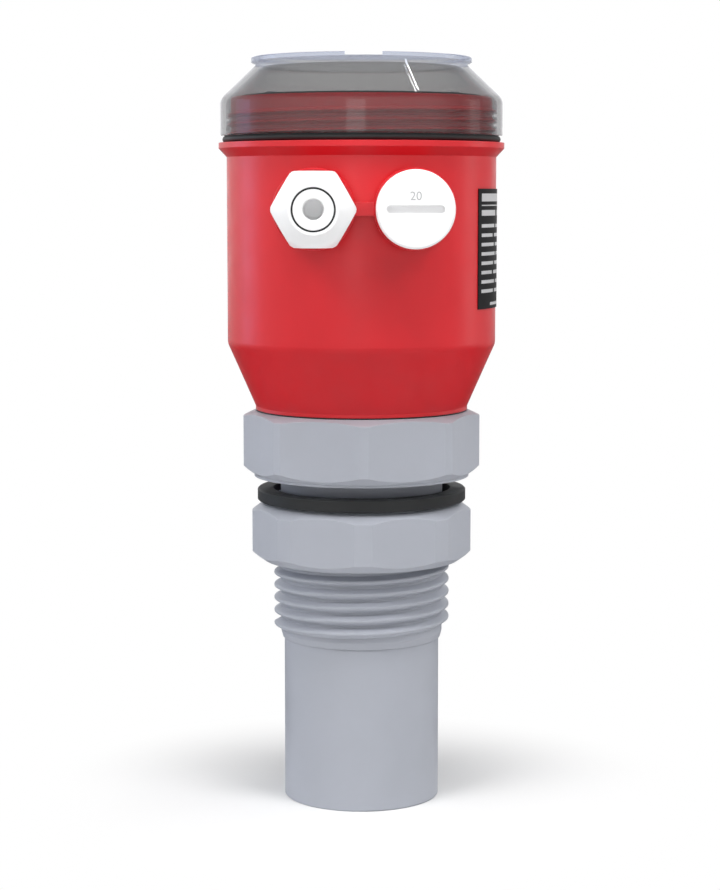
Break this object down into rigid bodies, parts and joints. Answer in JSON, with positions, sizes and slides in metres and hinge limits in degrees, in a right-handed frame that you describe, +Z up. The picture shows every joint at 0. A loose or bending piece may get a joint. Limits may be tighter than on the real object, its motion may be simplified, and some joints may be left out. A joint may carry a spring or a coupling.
{
  "type": "ultrasonic level sensor",
  "caption": "Ultrasonic level sensor: red cup housing under a clear screwed lid, cable gland and plug, grey octagon collar, lock nut and gasket on a threaded probe tube.",
  "frame": {"origin": "centre of the sensing face at the lower end of the probe tube", "axes": "+Z up the probe's axis to the lid, -Y out of the cable gland and the plug"},
  "size_m": [0.0974, 0.1237, 0.2552],
  "materials": {
    "grey_plastic": "satin moulded polypropylene",
    "red_plastic": "smooth moulded ABS",
    "clear_lid": "clear smoky polycarbonate",
    "black_rubber": "matt moulded rubber",
    "white_nylon": "satin moulded nylon",
    "white_rubber": "soft moulded rubber",
    "label_plate": "printed film",
    "black_plastic": "moulded",
    "matching_layer": "cast filled resin",
    "ceramic": "sintered, silvered faces",
    "foam": "closed-cell foam",
    "potting_resin": "cast",
    "black_cable": "extruded",
    "grey_cable": "extruded",
    "circuit_board": "glass-fibre laminate under solder mask",
    "green_plastic": "moulded",
    "zinc_steel": "zinc plated",
    "yellow_tape": "taped winding",
    "capacitor_sleeve": "shrunk sleeve",
    "display_glass": "polarised glass",
    "panel_face": "printed polycarbonate",
    "red_keys": "moulded"
  },
  "bodies": {
    "sensor": {"sensor_body": "grey_plastic", "housing": "red_plastic", "body_gasket": "black_rubber", "ring_nut": "black_plastic", "label_plate": "label_plate", "gland_washer": "black_rubber", "gland_body": "white_nylon", "matching_layer": "matching_layer", "piezo_disc": "ceramic", "absorber_foam": "foam", "potting": "potting_resin", "transducer_lead": "black_cable", "main_board": "circuit_board", "terminal_block": "green_plastic", "terminal_screws": "zinc_steel", "transformer": "yellow_tape", "relay": "black_plastic", "ribbon_header": "black_plastic", "capacitors": "capacitor_sleeve", "ribbon_cable": "grey_cable", "display_board": "circuit_board", "display_module": "display_glass", "key_switches": "black_plastic", "front_panel": "panel_face", "panel_spacers": "white_nylon", "panel_screws": "zinc_steel"},
    "lid_gasket": {"lid_gasket": "black_rubber"},
    "lid": {"lid": "clear_lid"},
    "flange_gasket": {"flange_gasket": "black_rubber"},
    "lock_nut": {"lock_nut": "grey_plastic"},
    "gland_seal": {"gland_seal": "white_rubber"},
    "gland_nut": {"gland_nut": "white_nylon"},
    "plug_seal": {"plug_seal": "black_rubber"},
    "plug": {"plug": "white_nylon"},
    "key_1": {"key_1": "red_keys"},
    "key_2": {"key_2": "red_keys"},
    "key_3": {"key_3": "red_keys"}
  },
  "joints": [
    {"name": "lid_turn", "type": "hinge", "parent": "sensor", "child": "lid_gasket", "pos_m": [0, 0, 0.2288], "axis": [0, 0, 1], "range_deg": [0, 1080]},
    {"name": "lid_lift", "type": "slide", "parent": "lid_gasket", "child": "lid", "axis": [0, 0, 1], "range_m": [0, 0.00955]},
    {"name": "nut_travel", "type": "slide", "parent": "sensor", "child": "flange_gasket", "axis": [0, 0, 1], "range_m": [-0.03997, 0.00423]},
    {"name": "nut_turn", "type": "hinge", "parent": "flange_gasket", "child": "lock_nut", "pos_m": [0, 0, 0.094], "axis": [0, 0, 1], "range_deg": [-3240, 342]},
    {"name": "gland_turn", "type": "hinge", "parent": "sensor", "child": "gland_seal", "pos_m": [-0.0163, -0.05, 0.2044], "axis": [0, -1, 0], "range_deg": [0, 1620]},
    {"name": "gland_travel", "type": "slide", "parent": "gland_seal", "child": "gland_nut", "axis": [0, -1, 0], "range_m": [0, 0.00676]},
    {"name": "plug_travel", "type": "slide", "parent": "sensor", "child": "plug_seal", "axis": [0, -1, 0], "range_m": [0, 0.00901]},
    {"name": "plug_turn", "type": "hinge", "parent": "plug_seal", "child": "plug", "pos_m": [0.0163, -0.05, 0.2044], "axis": [0, -1, 0], "range_deg": [0, 2160]},
    {"name": "key_1_press", "type": "slide", "parent": "sensor", "child": "key_1", "axis": [0, 0, -1], "range_m": [0, 0.0005], "stiffness_N_per_m": 400},
    {"name": "key_2_press", "type": "slide", "parent": "sensor", "child": "key_2", "axis": [0, 0, -1], "range_m": [0, 0.0005], "stiffness_N_per_m": 400},
    {"name": "key_3_press", "type": "slide", "parent": "sensor", "child": "key_3", "axis": [0, 0, -1], "range_m": [0, 0.0005], "stiffness_N_per_m": 400}
  ],
  "couplings": [
    {"joint": "lid_lift", "follows": "lid_turn", "m_per_rad": 0.00050611},
    {"joint": "nut_travel", "follows": "nut_turn", "m_per_rad": 0.00070665},
    {"joint": "gland_travel", "follows": "gland_turn", "m_per_rad": 0.00023873},
    {"joint": "plug_travel", "follows": "plug_turn", "m_per_rad": 0.00023873}
  ]
}
